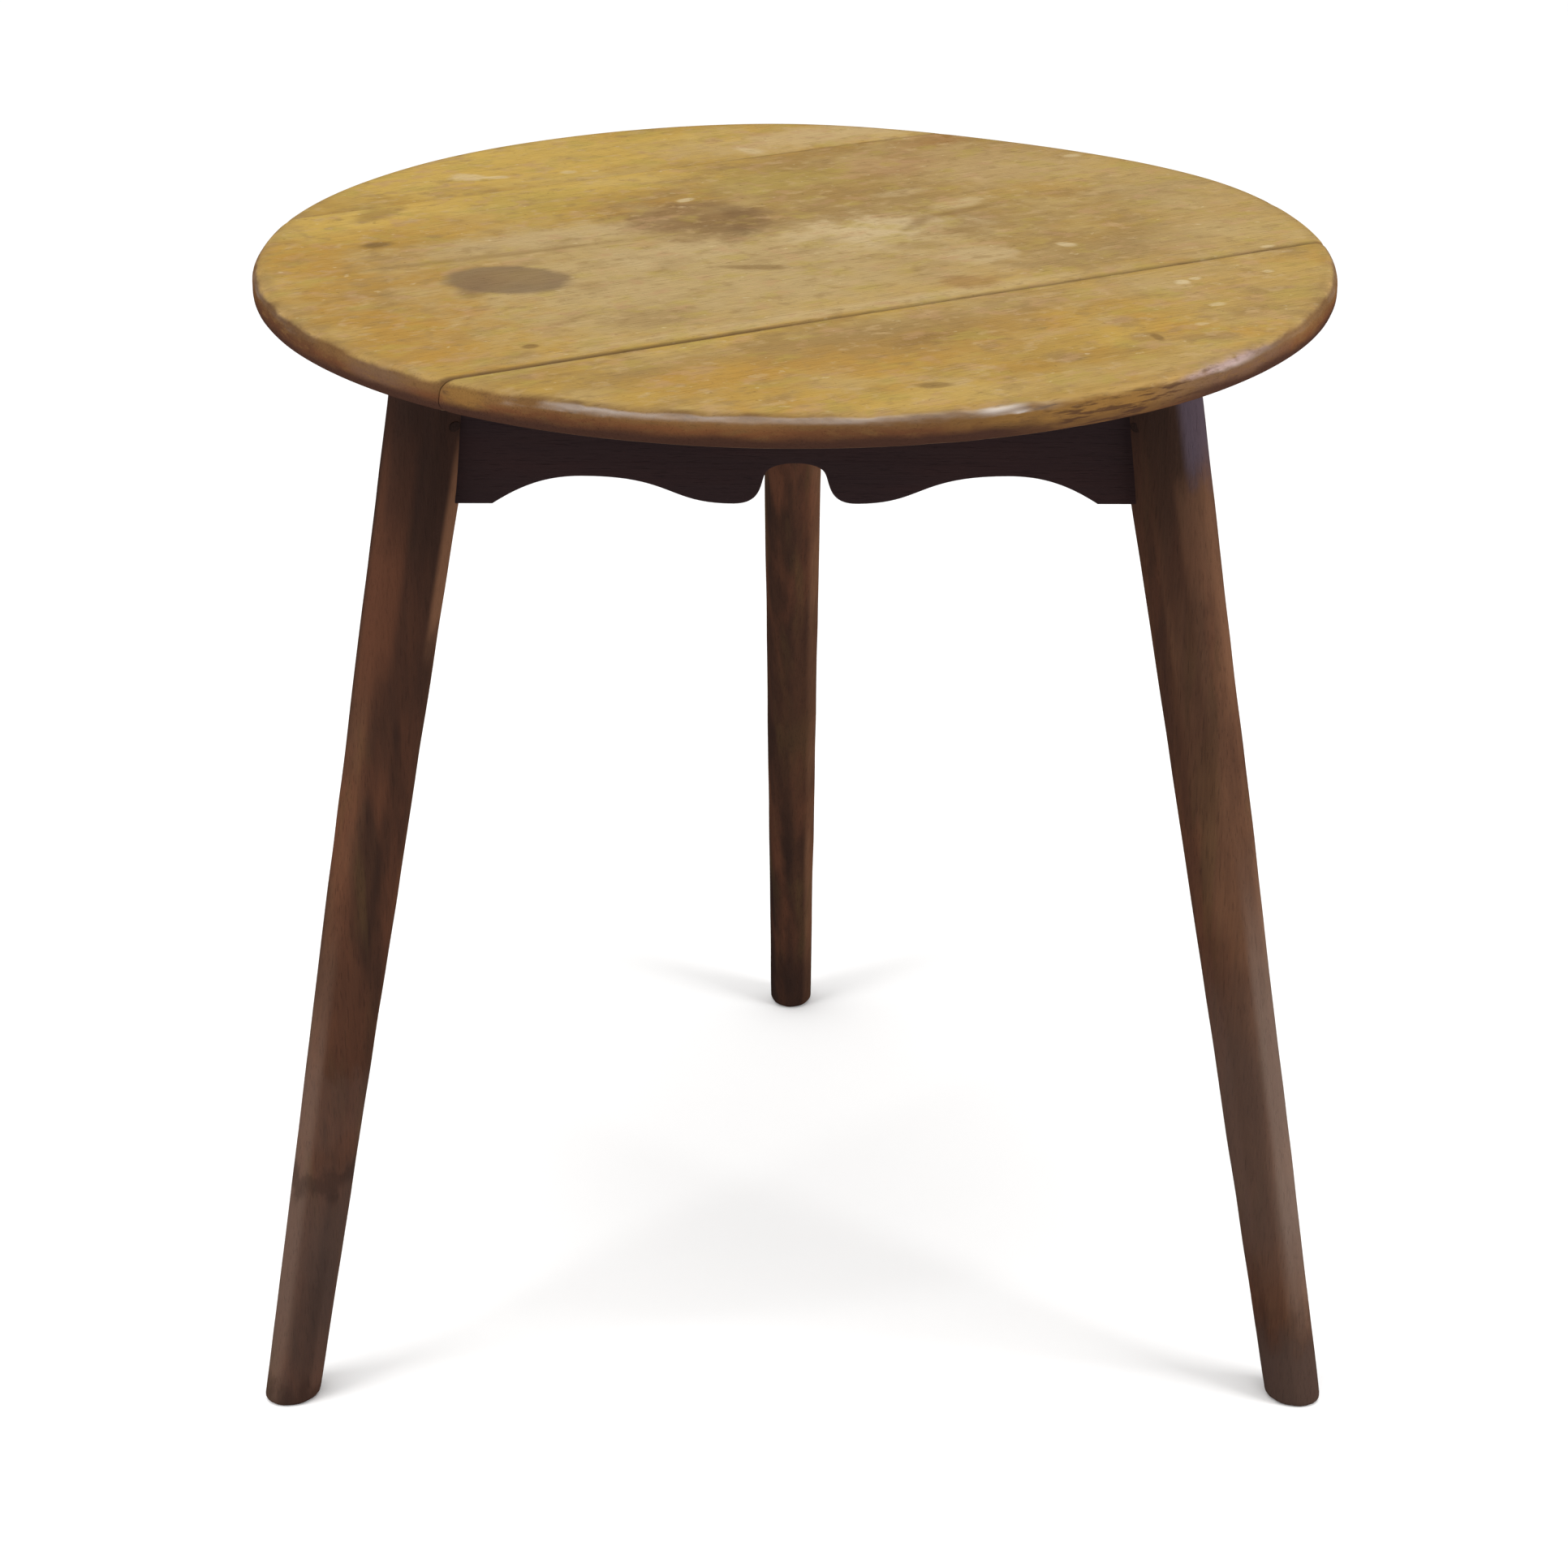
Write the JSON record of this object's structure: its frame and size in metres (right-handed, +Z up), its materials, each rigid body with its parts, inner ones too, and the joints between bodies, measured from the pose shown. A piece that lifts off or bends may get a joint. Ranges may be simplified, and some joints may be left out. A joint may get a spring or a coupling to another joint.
{
  "type": "cricket table",
  "caption": "Round-topped timber table on splayed, tapered legs tied by aprons with a shaped lower edge, for standing things on at sitting height.",
  "frame": {"origin": "on the floor, under the middle of the table's bounding box; the table's own axis stands 29.8 mm in front of it, at y = -0.0298 m", "axes": "+Z up; -Y towards the viewer of the picture, square to the front apron; +X to that viewer's right"},
  "size_m": [0.6784, 0.7195, 0.7065],
  "materials": {
    "top_timber": "old waxed timber, yellow-brown, worn and stained",
    "leg_timber": "dark stained timber, waxed, scuffed at the feet",
    "apron_timber": "dark stained timber, waxed",
    "peg_timber": "dark stained end grain, pared off at the leg",
    "block_timber": "unfinished, darkened with age",
    "dowel_timber": "unfinished",
    "screw_iron": "dark iron, dull"
  },
  "bodies": {
    "root": {"apron_front": "apron_timber", "apron_left": "apron_timber", "apron_right": "apron_timber", "edge_dowel_back_joint_left": "dowel_timber", "edge_dowel_back_joint_middle": "dowel_timber", "edge_dowel_back_joint_right": "dowel_timber", "edge_dowel_front_joint_left": "dowel_timber", "edge_dowel_front_joint_middle": "dowel_timber", "edge_dowel_front_joint_right": "dowel_timber", "glue_block_front_apron_left_end": "block_timber", "glue_block_front_apron_right_end": "block_timber", "glue_block_left_apron_back_end": "block_timber", "glue_block_left_apron_left_end": "block_timber", "glue_block_right_apron_back_end": "block_timber", "glue_block_right_apron_right_end": "block_timber", "leg_back": "leg_timber", "leg_left": "leg_timber", "leg_right": "leg_timber", "peg_back_leg_left_apron_lower": "peg_timber", "peg_back_leg_left_apron_upper": "peg_timber", "peg_back_leg_right_apron_lower": "peg_timber", "peg_back_leg_right_apron_upper": "peg_timber", "peg_left_leg_front_apron_lower": "peg_timber", "peg_left_leg_front_apron_upper": "peg_timber", "peg_left_leg_left_apron_lower": "peg_timber", "peg_left_leg_left_apron_upper": "peg_timber", "peg_right_leg_front_apron_lower": "peg_timber", "peg_right_leg_front_apron_upper": "peg_timber", "peg_right_leg_right_apron_lower": "peg_timber", "peg_right_leg_right_apron_upper": "peg_timber", "top_board_back": "top_timber", "top_board_front": "top_timber", "top_board_middle": "top_timber", "top_screw_front_apron_left_end": "screw_iron", "top_screw_front_apron_right_end": "screw_iron", "top_screw_left_apron_back_end": "screw_iron", "top_screw_left_apron_left_end": "screw_iron", "top_screw_right_apron_back_end": "screw_iron", "top_screw_right_apron_right_end": "screw_iron"}
  },
  "joints": []
}
